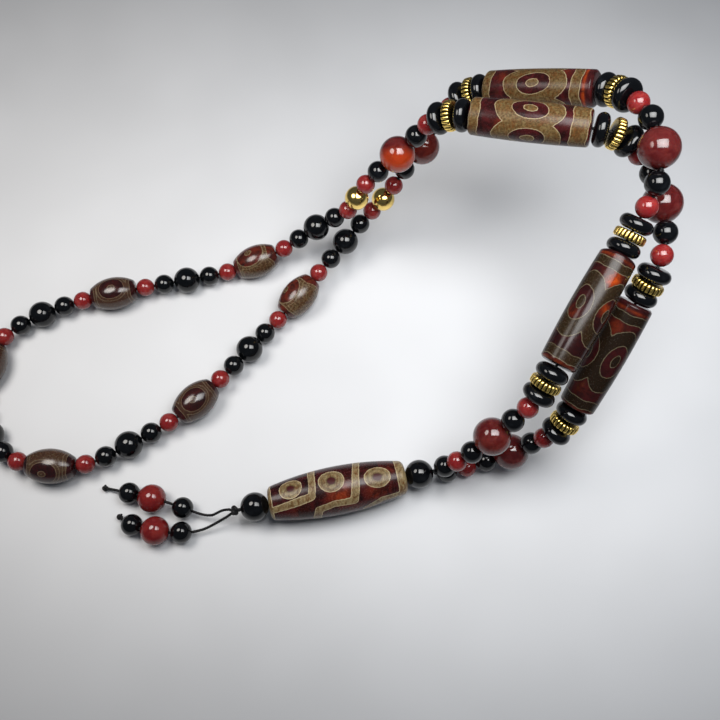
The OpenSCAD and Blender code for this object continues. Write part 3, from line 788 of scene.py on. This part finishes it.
def clouds(tree, size, detail=3, roughness=0.55, distortion=0, stretch=(1, 1, 1)):
    """A stone's clouds or grain: noise in the object's own coordinates, with lumps of about
    the given size."""
    place = add(tree, "Mapping", {"Vector": add(tree, "TexCoord", (), "Object"),
                                  "Scale": stretch})
    return add(tree, "TexNoise", {"Vector": place, "Scale": 1 / size, "Detail": detail,
                                  "Roughness": roughness, "Distortion": distortion})


def layered(tree, base, *layers):
    """Colours laid over a base: each layer is a share and the colour that it mixes in. The
    sockets for colours are found by number, since a mix has several of the same name."""
    for share, tint in layers:
        base = add(tree, MIX, {0: share, 6: base, 7: tint}, 2)
    return base


def finish(name, inputs, strength, distance):
    """A new material: a function that fills a tree with nodes gives the surface's inputs, and
    the height of its fine relief; single values are set on the surface itself. Strength and
    distance are those of the relief, the distance in millimetres."""
    material = bpy.data.materials.new(name)
    material.use_nodes = True
    tree = material.node_tree
    tree.nodes.clear()
    values, height = inputs(tree)
    values["Normal"] = add(tree, "Bump", {"Strength": strength, "Distance": distance * MM,
                                          "Height": height})
    add(tree, "OutputMaterial", {"Surface": add(tree, "BsdfPrincipled", values)})
    return material


def onyx_material(s):
    """Polished black agate, nearly mirror-smooth: faint browner clouds, and hairline scratches
    that show only where a light is mirrored. They are drawn half a millimetre wide, far
    coarser than real ones, so that they show."""
    def inputs(tree):
        haze = clouds(tree, 0.5 * MM, 4, 0.6, 0, (1, 1, 5))
        cloud = add(tree, STEP, (clouds(tree, 2.6 * MM), 0.5, 0.75))
        return {"Base Color": layered(tree, s.onyx, (cloud, s.onyx_cloud)),
                "Roughness": add(tree, STEP, (haze, 0.35, 0.75, 0.05, 0.11)),
                "IOR": STONE_IOR, "Specular IOR Level": 0.4}, haze
    return finish("black onyx", inputs, strength=0.05, distance=0.01)


def carnelian_material(s, name, body, cloud, share=0.5):
    """Polished carnelian: a translucent chalcedony, so light spreads inside it and the side
    away from the lamp glows; clouds of paler and deeper red, 2 to 3 mm wide, and marks of the
    polish, drawn 0.4 mm wide so that they show. The named value warm is the share of painted
    orange glow, laid on the lower side of a large bead as the camera sees it."""
    def inputs(tree):
        lumps = clouds(tree, 2.4 * MM, 4, 0.6, 0.8)
        fine = clouds(tree, 0.4 * MM, 2)
        pale = add(tree, STEP, (lumps, 0.35, 0.7))
        # Painted orange glow on the lower side of a large bead
        warm = add(tree, TIMES, (
            add(tree, ("Attribute", {"attribute_name": "warm"}), (), "Fac"),
            add(tree, STEP, (lumps, 0.2, 0.55, 0.55, 0.85))))
        return {"Base Color": layered(tree, body, (pale, cloud), (warm, s.painted_glow_orange)),
                "Roughness": add(tree, STEP, (fine, 0.3, 0.7, 0.06, 0.12)),
                "IOR": STONE_IOR, "Subsurface Weight": share,
                "Subsurface Radius": (1.0, 0.12, 0.06), "Subsurface Scale": 1.6 * MM}, fine
    return finish(name, inputs, strength=0.04, distance=0.01)


def gilt_material(s, name, gold, rough, grooved=False):
    """Gold plating: a yellow metal, polished on the high places, with patches of brown tarnish,
    and darkened in the grooves by tarnish and painted shade. Its fine rubbing marks are drawn
    0.35 mm wide, so that they show. The named value groove is the depth in a groove, and on the
    spacers' flat faces a fixed share of painted shade."""
    def inputs(tree):
        fine = clouds(tree, 0.35 * MM, 4, 0.65)
        patch = add(tree, STEP, (clouds(tree, 1.8 * MM), 0.45, 0.8, 0.0, 0.2))
        # Darker in the grooves and on the flat faces: tarnish and painted shade in the grooves,
        # painted shade on the faces
        if grooved:
            groove = add(tree, ("Attribute", {"attribute_name": "groove"}), (), "Fac")
            groove = add(tree, STEP, (groove, 0.06, FULL_TARNISH_AND_SHADE))
            patch = add(tree, MAXIMUM, (patch, groove))
        polish = add(tree, STEP, (fine, 0.3, 0.75, rough, rough + 0.12))
        return {"Base Color": layered(tree, gold, (patch, s.gilt_tarnish_and_shade)), "Metallic": 1.0,
                "Roughness": polish}, fine
    return finish(name, inputs, strength=0.12, distance=0.02)


def dzi_material(s, name, etched, deep, glow, rough, shine, grainy, outlined, hairs=0.0,
                 eyes=False):
    """Etched agate: a dark red polished stone with painted orange glow where it is thin, and
    pale fields that an alkali has etched into it, duller and grainy, with a paler outline.
    The named value etch is the depth in the pale part in millimetres, glow how much painted
    glow the stone has, tone how dark the etching and ground are made, painted shade on the
    darkest tubes, eye the distance from the middle of the next eye. Rough is the roughness of
    the polished stone, shine the level of its mirroring, grainy how strong the grain is,
    outlined and hairs the strength of the outlines and of the fine lines that follow them
    further in. The pits that an alkali leaves are about 0.1 mm wide, and are drawn as a grain
    of 0.55 mm, so that they show."""
    # How deep in the pale part the outline and the fine line run, in millimetres
    outline_depth, hair_depth = 0.1, 0.9

    def inputs(tree):
        etch, heat, tone = (add(tree, ("Attribute", {"attribute_name": key}), (), "Fac")
                            for key in ("etch", "glow", "tone"))
        wobble = add(tree, "MapRange", (clouds(tree, 0.8 * MM), 0.25, 0.75, -0.1, 0.1))
        etch = add(tree, PLUS, (etch, wobble))
        lumps = clouds(tree, 3.2 * MM, 4, 0.6, 1.0)
        grain = clouds(tree, 0.55 * MM, 4, 0.7)
        brown = clouds(tree, 1.6 * MM, 4, 0.65, 0.8, (1.8, 0.8, 0.8))

        # Painted glow, broken up by the clouds and the grain
        hot = add(tree, STEP, (lumps, 0.32, 0.62, 0.35, 1.4))
        hot = add(tree, TIMES, (heat, hot))
        speck = add(tree, STEP, (grain, 0.3, 0.6, 0.6, 1.0))
        ground = layered(
            tree, s.agate,
            (add(tree, STEP, (lumps, 0.34, 0.68)), s.agate_red),
            # The ground darkens with the tone value: painted shade on the darkest tubes, the
            # stone's own darkness on the barrels
            (add(tree, STEP, (tone, 0.2, 1.0, 0.0, 0.6)), s.agate),
            (add(tree, TIMES, (hot, speck)), glow))
        pale = layered(
            tree, etched,
            (add(tree, STEP, (brown, 0.42, 0.66)), s.etched_warm),
            (add(tree, STEP, (grain, 0.4, 0.6, grainy, 0.0)), s.etched_dark),
            # The pale part darkens the same way: painted shade on the darkest tubes, the stone's
            # own darkness on the barrels
            (tone, deep))
        if eyes:
            eye = add(tree, ("Attribute", {"attribute_name": "eye"}), (), "Fac")
            eye = add(tree, PLUS, (eye, wobble))
            rings = add(tree, TIMES, (eye, 6.0))
            rings = add(tree, SINE, (rings,))
            rings = add(tree, STEP, (rings, 0.0, 0.9))
            inside = add(tree, STEP, (eye, 2.4, 2.7, 0.45, 0.0))
            rings = add(tree, TIMES, (rings, inside))
            rim = add(tree, STEP, (eye, 1.05, 1.5, 0.8, 0.0))
            rings = add(tree, MAXIMUM, (rings, rim))
            pale = layered(tree, pale, (rings, s.etched_dark))

        inner = add(tree, STEP, (etch, -0.06, 0.06))
        line, hair = (
            add(tree, ABSOLUTE, (add(tree, PLUS, (etch, -depth)),))
            for depth in (outline_depth, hair_depth))
        line = add(tree, STEP, (line, 0.03, 0.14, outlined, 0.0))
        # Outlines fade on dark beads, in the painted shade of the darkest tubes too
        for fading in ((tone, 0, 1.4, 1.0, 0.2), (lumps, 0.3, 0.5, 0.5, 1.0)):
            share = add(tree, STEP, fading)
            line = add(tree, TIMES, (line, share))
        shade = layered(tree, ground, (inner, pale), (line, s.outline))
        if hairs:
            hair = add(tree, STEP, (hair, 0.03, 0.12, hairs, 0.0))
            shade = layered(tree, shade, (hair, s.outline))
        if eyes:
            pupil = add(tree, STEP, (eye, 0.95, 1.1, 1.0, 0.0))
            shade = layered(tree, shade, (pupil, s.agate_red))

        gloss = add(tree, STEP, (grain, 0.3, 0.7, rough, rough + 0.1))
        gloss = add(tree, TIMES_PLUS, (tone, -0.08, gloss))
        gloss = add(tree, TIMES_PLUS, (inner, 0.07, gloss))
        height = add(tree, TIMES, (grain, 0.3 * grainy))
        height = add(tree, TIMES_PLUS, (line, 0.8, height))
        return {"Base Color": shade, "Roughness": gloss, "IOR": STONE_IOR,
                "Specular IOR Level": shine, "Subsurface Weight": 0.12,
                "Subsurface Radius": (1.0, 0.25, 0.1), "Subsurface Scale": 0.8 * MM}, height
    return finish(name, inputs, strength=0.3, distance=0.05)


def thread_material(s):
    """Waxed black thread: fibres that scatter a little light over a dark core, and a dull wax
    shine along the plies. The fibres, some 0.02 mm thick, are drawn 0.16 mm thick, so that
    they show."""
    def inputs(tree):
        fibre = clouds(tree, 0.16 * MM, 3, 0.6)
        pale = add(tree, STEP, (fibre, 0.4, 0.7))
        return {"Base Color": layered(tree, s.thread, (pale, s.thread_fibre)),
                "Roughness": 0.55, "IOR": 1.45, "Specular IOR Level": 0.3,
                "Sheen Weight": 0.05}, fibre
    return finish("waxed thread", inputs, strength=0.5, distance=0.04)


def floor_material(s):
    """Matt pale board: hardly any shine, with very faint clouds and a tooth of 0.5 mm, coarser
    than real board, so that it shows."""
    def inputs(tree):
        cloud = add(tree, STEP, (clouds(tree, 60 * MM, 2), 0.3, 0.7))
        dim = tuple(0.93 * c for c in s.floor[:3]) + (1.0,)
        tooth = clouds(tree, 0.5 * MM, 2)
        return {"Base Color": layered(tree, s.floor, (cloud, dim)), "Roughness": 0.55}, tooth
    return finish("pale board", inputs, strength=0.08, distance=0.05)


# Operators

class NECKLACE_OT_pendant(bpy.types.Operator):
    """Makes the three-eyed pendant bead"""

    bl_idname = "necklace.pendant"
    bl_label = "Pendant bead"

    def execute(self, context):
        s, layout = plan(context)
        outline = barrel_outline(s.pendant_l, s.pendant_d, s.pendant_taper, s.pendant_bevel,
                                 s.double_bore_d, 120)
        grid, x, angle, r = unrolled(outline, layout.on_pendant(layout.pendant_back),
                                     layout.pendant_way, 160)
        etch, eye = pendant_pattern(x, angle, r)
        material = dzi_material(s, "etched agate of the pendant", s.etched_pale, s.etched_deep_and_shaded,
                                s.pendant_glow, rough=0.2, shine=0.25, grainy=0.4,
                                outlined=0.75, eyes=True)
        build("pendant_bead", "pendant_dzi", [grid], material, values={
            "etch": etch / MM, "eye": eye, "tone": np.zeros(x.shape),
            "glow": glows(x, angle, r, PENDANT_GLOWS)})
        return {"FINISHED"}


class NECKLACE_OT_dzi_beads(bpy.types.Operator):
    """Makes the dzi tubes and barrels"""

    bl_idname = "necklace.dzi_beads"
    bl_label = "Dzi tubes and barrels"

    def execute(self, context):
        s, layout = plan(context)
        tubes = dzi_material(s, "etched agate of the tubes", s.etched, s.etched_deep_and_shaded,
                             s.agate_glow, rough=0.2, shine=0.2, grainy=0.7, outlined=0.42)
        barrels = dzi_material(s, "etched agate of the barrels", s.etched, s.etched_red,
                               s.agate_glow, rough=0.18, shine=0.48, grainy=0.9,
                               outlined=0.32, hairs=0.18)
        tube = barrel_outline(s.tube_l, s.tube_d, s.tube_taper, s.tube_bevel,
                              s.bead_bore_d, 100)
        barrel = barrel_outline(s.barrel_l, s.barrel_d, s.barrel_taper, s.barrel_bevel,
                                s.bead_bore_d, 50)
        kinds = (("tube", tube, TUBE_TURNS, TUBE_TONE_AND_SHADE, TUBE_ENDS, tubes),
                 ("barrel", barrel, BARREL_TURNS, BARREL_TONES, BARREL_ENDS, barrels))
        for kind, outline, turns, tones_and_shades, ends, material in kinds:
            for i, (place, way) in enumerate(layout.places(kind)):
                number = i + 1
                grid, x, angle, r = unrolled(outline, place, way, 120)
                turn, seed = math.radians(turns[i]), SEED_STEP * number
                if kind == "tube":
                    etch = tube_pattern(x, angle, r, turn, seed, TUBE_BANDS[i])
                    heat = glows(x, angle, r, TUBE_GLOWS[i])
                    bare = np.maximum(TUBE_BANDS[i][0] * MM - x, x - TUBE_BANDS[i][3] * MM)
                    # A tube's end has painted glow next to its band, and is dark again towards
                    # its face
                    bare = bare - 4 * np.clip(bare - 0.9 * MM, 0, None)
                else:
                    etch = barrel_pattern(x, angle, r, turn, seed, BARREL_STRIPES[i])
                    heat = BARREL_HEATS[i] * (0.4 + 0.6 * np.cos(angle - turn) ** 2)
                    bare = np.abs(x) - 4.4 * MM
                end = ends[i] * np.clip(bare / (0.8 * MM), 0, 1)
                build(f"{kind}_bead_{number}", f"{kind}_dzi_{number}", [grid], material,
                      values={"etch": etch / MM, "glow": np.maximum(heat, end),
                              "tone": np.full(x.shape, tones_and_shades[i])})
        return {"FINISHED"}


class NECKLACE_OT_onyx(bpy.types.Operator):
    """Makes the onyx beads and rondelles"""

    bl_idname = "necklace.onyx"
    bl_label = "Onyx beads"

    def execute(self, context):
        s, layout = plan(context)
        onyx = onyx_material(s)
        balls("small_onyx", "onyx_small_beads", layout.places("onyx"), s.small_onyx_d,
              s.bead_bore_d, onyx)
        single_balls(s, layout, "large onyx", "large_onyx", "onyx_large", s.large_onyx_d, onyx)
        for part, back in (("upper", layout.upper_back), ("lower", layout.lower_back)):
            balls(f"large_onyx_{part}", f"onyx_large_{part}",
                  [(layout.on_pendant(back), layout.pendant_way)], s.large_onyx_d,
                  s.double_bore_d, onyx, LARGE)
        places = [layout.tail_beads(s, tail)[k] for tail in layout.tails.values() for k in (0, 2)]
        balls("tail_onyx", "tail_onyx_beads", places, s.tail_onyx_d, s.bead_bore_d, onyx,
              (48, 26))
        outline = rondelle_outline(s.rondelle_d, s.rondelle_l, s.bead_bore_d)
        grids = [turned(outline, place, way, 48)[0] for place, way in layout.places("rondelle")]
        build("rondelles", "onyx_rondelles", grids, onyx)
        return {"FINISHED"}


class NECKLACE_OT_carnelian(bpy.types.Operator):
    """Makes the carnelian beads"""

    bl_idname = "necklace.carnelian"
    bl_label = "Carnelian beads"

    def execute(self, context):
        s, layout = plan(context)
        bright = carnelian_material(s, "bright carnelian", s.carnelian, s.carnelian_cloud)
        deep = carnelian_material(s, "deep carnelian", s.deep_carnelian, s.deep_cloud, 0.35)
        tail_red = carnelian_material(s, "tail carnelian", s.tail_carnelian, s.tail_cloud, 0.4)
        balls("small_carnelian", "carnelian_small_beads", layout.places("carnelian"),
              s.small_carnelian_d, s.bead_bore_d, bright)
        beads = single_balls(s, layout, "large carnelian", "large_carnelian",
                             "carnelian_large", s.large_carnelian_d, deep, LARGEST)
        for bead, place, warmth in zip(beads, layout.places("large carnelian"),
                                       CARNELIAN_PAINTED_GLOW):
            points = np.zeros(3 * len(bead.data.vertices))
            bead.data.vertices.foreach_get("co", points)
            low = -(points.reshape(-1, 3) - place[0]) @ PICTURE_UP * 2 / s.large_carnelian_d
            # The painted orange glow begins 0.28 of the radius above the middle and is full 0.34
            # below it, on the side that faces down in the camera's picture
            give(bead, {"warm": np.clip(low * 1.6 + 0.45, 0, 1) * warmth})
        for part, tail in layout.tails.items():
            balls(f"tail_carnelian_bead_{part}", f"tail_carnelian_{part}",
                  [layout.tail_beads(s, tail)[1]], s.tail_carnelian_d, s.bead_bore_d, tail_red,
                  LARGE)
        return {"FINISHED"}


class NECKLACE_OT_gilt(bpy.types.Operator):
    """Makes the gilt balls and ribbed spacers"""

    bl_idname = "necklace.gilt"
    bl_label = "Gilt beads"

    def execute(self, context):
        s, layout = plan(context)
        plain = gilt_material(s, "polished gilt", s.gilt, 0.1)
        ribbed = gilt_material(s, "ribbed gilt", s.gilt_rib, 0.2, grooved=True)
        single_balls(s, layout, "ball", "gilt_ball_bead", "gilt_ball", s.gilt_ball_d, plain)

        outer, half, bore = s.spacer_d / 2, s.spacer_l / 2, s.bead_bore_d / 2
        flat, edge = bore + 0.6 * MM, 0.8 * MM
        corners = [(flat, -half), (outer, -half), (outer, 0), (outer, half), (flat, half),
                   (bore, half), (bore, 0), (bore, -half)]
        outline = rounded(corners, [0, edge, 0, edge, 0, MOUTH, 0, MOUTH], 9)
        r = outline[:, :1]
        # The grooves run out over the outer 1.4 mm of the faces; inside that, painted shade
        # begins
        # 0.7 mm from the rim and is full 0.4 mm further in, where the faces lie against the
        # rondelles
        rim = np.clip((r - outer + 1.4 * MM) / (1.4 * MM), 0, 1)
        face = np.clip((outer - 0.7 * MM - r) / (0.4 * MM), 0, 1)
        for number, (place, way) in enumerate(layout.places("spacer"), 1):
            grid, angle = turned(outline, place, way, 12 * s.spacer_ribs)
            wave = (angle * s.spacer_ribs / math.pi) % 2 - 1
            groove = rim * (1 - np.sqrt(1 - 0.98 * wave**2))
            middle = place + ((grid - place) @ way)[..., None] * way
            share = 1 - groove * s.spacer_rib_depth / r
            grid = middle + (grid - middle) * share[..., None]
            # The grooves take tarnish and painted shade, the flat faces painted shade
            build(f"gilt_spacer_bead_{number}", f"gilt_spacer_{number}", [grid], ribbed,
                  values={"groove": np.maximum(groove, FULL_TARNISH_AND_SHADE * face)})
        return {"FINISHED"}


class NECKLACE_OT_threads(bpy.types.Operator):
    """Makes the threads and knots"""

    bl_idname = "necklace.threads"
    bl_label = "Threads and knots"

    def execute(self, context):
        s, layout = plan(context)
        waxed = thread_material(s)
        # The thread of a small knot is pulled thin, and the large knot is tied of two strands
        end_thread_d, knot_thread_d = 0.9 * s.thread_d, 1.25 * s.thread_d
        end = layout.on_pendant(layout.knot_back - s.thread_d)
        offset = np.array([0, 0, (s.thread_d + s.strand_gap) / 2])
        points = np.vstack([end + offset, layout.mouth + offset, layout.joints[1:],
                            layout.mouth - offset, end - offset])
        line = bent(points, reach=0.35 * MM, spacing=0.3 * MM)
        build("neck_thread_twist", "neck_thread", [twisted(line, s.thread_d)], waxed,
              closed=False)
        for part, tail in layout.tails.items():
            way = unit(tail[9] - tail[8])
            middle = tail[9] + way * (s.bead_play + s.end_knot_d / 2)
            # The thread begins in the knot, 0.4 of the way from its middle to the first joint
            start = tail[:1] * 0.6 + tail[1:2] * 0.4
            bare = curve(np.vstack([start, tail[1:6]]), 8)[::4]
            line = bent(np.vstack([bare, tail[6:], middle[None]]), reach=0.3 * MM,
                        spacing=0.2 * MM)
            build(f"tail_thread_twist_{part}", f"tail_thread_{part}",
                  [twisted(line, s.thread_d)], waxed, closed=False)
            line = knot_line(middle, way, s.end_knot_d, end_thread_d)
            build(f"end_knot_loop_{part}", f"end_knot_{part}",
                  [closed_tube(line, end_thread_d)], waxed)
        line = knot_line(layout.on_pendant(layout.knot_back), layout.pendant_way, s.knot_d,
                         knot_thread_d)
        build("tail_knot_loop", "tail_knot", [closed_tube(line, knot_thread_d)], waxed)
        return {"FINISHED"}


class NECKLACE_OT_stage(bpy.types.Operator):
    """Makes the floor, the lights and the camera"""

    bl_idname = "necklace.stage"
    bl_label = "Stage"

    def execute(self, context):
        s = context.scene.necklace
        scene = context.scene
        low = min(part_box("tail_carnelian_front")[0].z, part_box("onyx_small_beads")[0].z)
        along = np.linspace(-FLOOR_HALF, FLOOR_HALF, FLOOR_CELLS + 1)
        x, y = np.meshgrid(along, along, indexing="ij")
        points = np.stack([x, y, np.full_like(x, low)], axis=-1).reshape(-1, 3)
        i, j = np.meshgrid(np.arange(FLOOR_CELLS), np.arange(FLOOR_CELLS), indexing="ij")
        first, row = (i * (FLOOR_CELLS + 1) + j).ravel(), FLOOR_CELLS + 1
        faces = np.stack([first, first + row, first + row + 1, first + 1], axis=1)
        mesh = bpy.data.meshes.new("floor")
        mesh.from_pydata(points, [], faces.tolist())
        mesh.materials.append(floor_material(s))
        floor = bpy.data.objects.new("floor", mesh)
        scene.collection.objects.link(floor)

        for name, place, sides, shape, power, spread, tint in LAMPS:
            light = bpy.data.lights.new(name, "AREA")
            light.shape = shape
            light.size, light.size_y = sides
            light.energy = power
            light.color = linear(tint)[:3]
            light.spread = math.radians(spread)
            lamp = bpy.data.objects.new(name, light)
            lamp.location = place
            lamp.rotation_euler = (LAMP_TILT, 0, 0)
            lamp.visible_camera = False
            scene.collection.objects.link(lamp)

        scene.world = bpy.data.worlds.new("studio")
        scene.world.use_nodes = True
        tree = scene.world.node_tree
        tree.nodes.clear()
        glow = add(tree, "Background", {"Color": linear("C4CCDA"), "Strength": 0.14})
        add(tree, "OutputWorld", {"Surface": glow})

        camera = bpy.data.objects.new("camera", bpy.data.cameras.new("camera"))
        camera.data.angle = CAMERA_VIEW
        camera.data.clip_start = 0.01
        camera.location = CAMERA_AT
        camera.rotation_euler = (CAMERA_AT - CAMERA_LOOKS_AT).to_track_quat("Z", "Y").to_euler()
        scene.collection.objects.link(camera)
        scene.camera = camera
        scene.view_settings.view_transform = "Standard"
        return {"FINISHED"}


class NECKLACE_PT_panel(bpy.types.Panel):
    """Settings and steps of the necklace"""

    bl_idname = "NECKLACE_PT_panel"
    bl_label = "Dzi bead necklace"
    bl_space_type = "VIEW_3D"
    bl_region_type = "UI"
    bl_category = "Necklace"

    def draw(self, context):
        for key in NecklaceSettings.__annotations__:
            self.layout.prop(context.scene.necklace, key)
        for operator in OPERATORS:
            self.layout.operator(operator.bl_idname)


OPERATORS = (NECKLACE_OT_pendant, NECKLACE_OT_dzi_beads, NECKLACE_OT_onyx,
             NECKLACE_OT_carnelian, NECKLACE_OT_gilt, NECKLACE_OT_threads, NECKLACE_OT_stage)


def register():
    """Registers the settings, operators and panel."""
    for cls in (NecklaceSettings, *OPERATORS, NECKLACE_PT_panel):
        bpy.utils.register_class(cls)
    bpy.types.Scene.necklace = bpy.props.PointerProperty(type=NecklaceSettings)


def unregister():
    """Removes them again."""
    del bpy.types.Scene.necklace
    for cls in (NECKLACE_PT_panel, *OPERATORS[::-1], NecklaceSettings):
        bpy.utils.unregister_class(cls)


def corners(box):
    """A box as plain lists of numbers."""
    return [[float(v) for v in corner] for corner in box]


def main():
    """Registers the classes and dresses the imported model."""
    register()
    for operator in OPERATORS:
        group, name = operator.bl_idname.split(".")
        getattr(getattr(bpy.ops, group), name)()
    bpy.context.view_layer.update()


if __name__ == "__main__":
    main()
